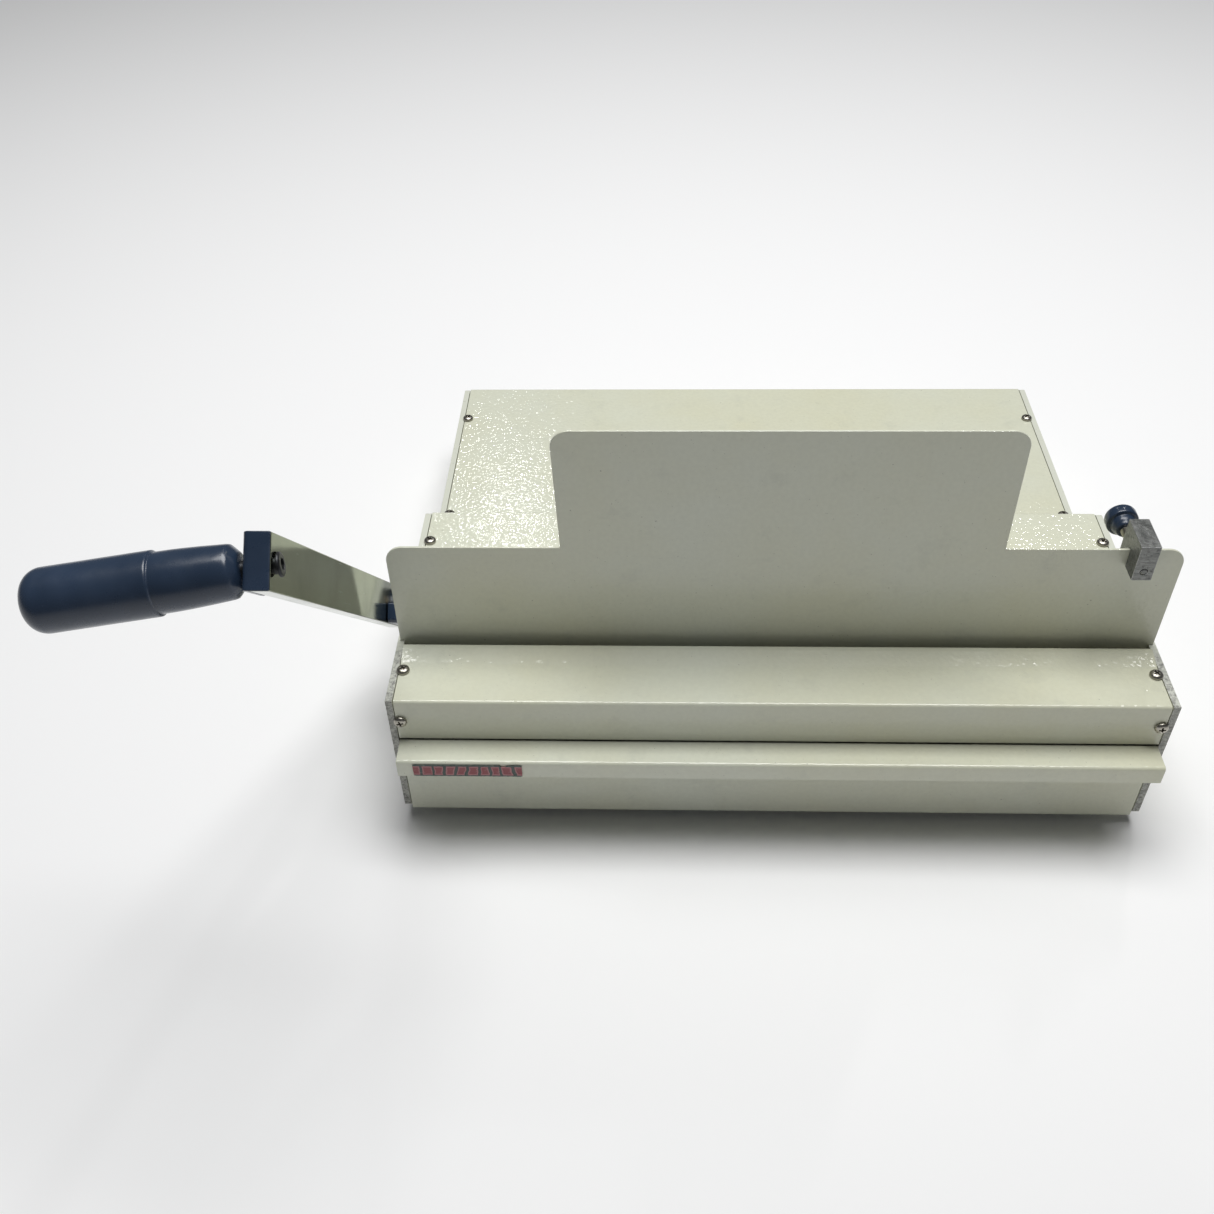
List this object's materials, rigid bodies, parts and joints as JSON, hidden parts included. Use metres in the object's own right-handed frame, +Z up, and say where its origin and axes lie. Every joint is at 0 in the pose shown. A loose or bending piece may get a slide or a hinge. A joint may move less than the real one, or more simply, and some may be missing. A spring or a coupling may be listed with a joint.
{
  "type": "lever paper punch",
  "caption": "Bench paper punch in folded sheet metal: stepped body, upright paper rest with sliding side guide, side lever with turning grip, pull-out scrap tray.",
  "frame": {"origin": "middle of the base plate's underside, at the middle of the body's width and depth; the rubber feet reach 8 mm below it", "axes": "+X along the paper slot, to the right seen from the front; +Y to the back; +Z up"},
  "size_m": [0.5549, 0.482, 0.2891],
  "materials": {
    "cream_paint": "cream powder coat with fine orange peel, semi-gloss",
    "polished_steel": "polished flat bar, mirror-like faces, ground edges, a few scratches",
    "tool_steel": "ground and oiled",
    "nickel": "nickel-plated, slightly dulled",
    "aluminium": "bare, sawn and scratched",
    "bronze": "sintered bronze, satin",
    "navy_plastic": "glossy moulded plastic with handling marks",
    "black_oxide": "black oxide, satin",
    "rubber": "matt moulded rubber",
    "label": "plain printed strip without text, worn edges"
  },
  "bodies": {
    "chassis": {"side_plate_left": "cream_paint", "side_plate_right": "cream_paint", "front_cover": "cream_paint", "top_cover": "cream_paint", "rear_cover": "cream_paint", "base_plate": "cream_paint", "paper_rest": "cream_paint", "tie_bar_middle": "tool_steel", "tie_bar_rear": "tool_steel", "die_plate": "tool_steel", "stripper_plate": "tool_steel", "depth_stop": "tool_steel", "ram_guide_pin_left": "tool_steel", "ram_guide_pin_right": "tool_steel", "spring_post_left": "tool_steel", "spring_post_right": "tool_steel", "return_spring_left": "tool_steel", "return_spring_right": "tool_steel", "tray_rail_left": "tool_steel", "tray_rail_right": "tool_steel", "screw_front_strip_left": "nickel", "screw_front_strip_right": "nickel", "screw_front_face_left": "nickel", "screw_front_face_right": "nickel", "screw_top_left": "nickel", "screw_top_right": "nickel", "screw_rear_near_left": "nickel", "screw_rear_near_right": "nickel", "screw_rear_far_left": "nickel", "screw_rear_far_right": "nickel", "shaft_bush_left": "bronze", "shaft_bush_right": "bronze", "foot_front_left": "rubber", "foot_front_right": "rubber", "foot_rear_left": "rubber", "foot_rear_right": "rubber"},
    "lever": {"main_shaft": "tool_steel", "cam_left": "tool_steel", "cam_right": "tool_steel", "spring_arm_left": "tool_steel", "spring_arm_right": "tool_steel", "lever_arm": "polished_steel", "lever_spacer": "navy_plastic", "lever_nut": "nickel", "handle_boss": "navy_plastic", "handle_bolt": "black_oxide"},
    "grip": {"grip": "navy_plastic"},
    "ram": {"punch_row": "tool_steel", "ram_bar": "tool_steel", "cam_pad_left": "tool_steel", "cam_pad_right": "tool_steel"},
    "tray": {"scrap_tray": "cream_paint", "tray_label": "label"},
    "guide": {"guide_block": "aluminium", "guide_pin": "nickel"},
    "clamp": {"clamp_stud": "nickel", "clamp_knob": "navy_plastic"}
  },
  "joints": [
    {"name": "lever_hinge", "type": "hinge", "parent": "chassis", "child": "lever", "pos_m": [0, -0.0824, 0.0691], "axis": [1, 0, 0], "range_deg": [0, 50], "stiffness_Nm_per_rad": 4, "springref_deg": -34.38, "deforming": ["return_spring_left", "return_spring_right"]},
    {"name": "ram_slide", "type": "slide", "parent": "chassis", "child": "ram", "axis": [0, -1, 0], "range_m": [0, 0.0091]},
    {"name": "grip_spin", "type": "hinge", "parent": "lever", "child": "grip", "pos_m": [-0.23195, -0.2703, 0.26438], "axis": [-0.988, -0.112, -0.1067], "continuous": true},
    {"name": "tray_slide", "type": "slide", "parent": "chassis", "child": "tray", "axis": [0, -1, 0], "range_m": [0, 0.11]},
    {"name": "guide_slide", "type": "slide", "parent": "chassis", "child": "guide", "axis": [1, 0, 0], "range_m": [-0.062, 0.009]},
    {"name": "clamp_turn", "type": "hinge", "parent": "guide", "child": "clamp", "pos_m": [0.1916, -0.115, 0.1595], "axis": [0, 1, 0], "range_deg": [0, 360]}
  ],
  "couplings": [
    {"joint": "ram_slide", "follows": "lever_hinge", "m_per_rad": 0.010313}
  ]
}
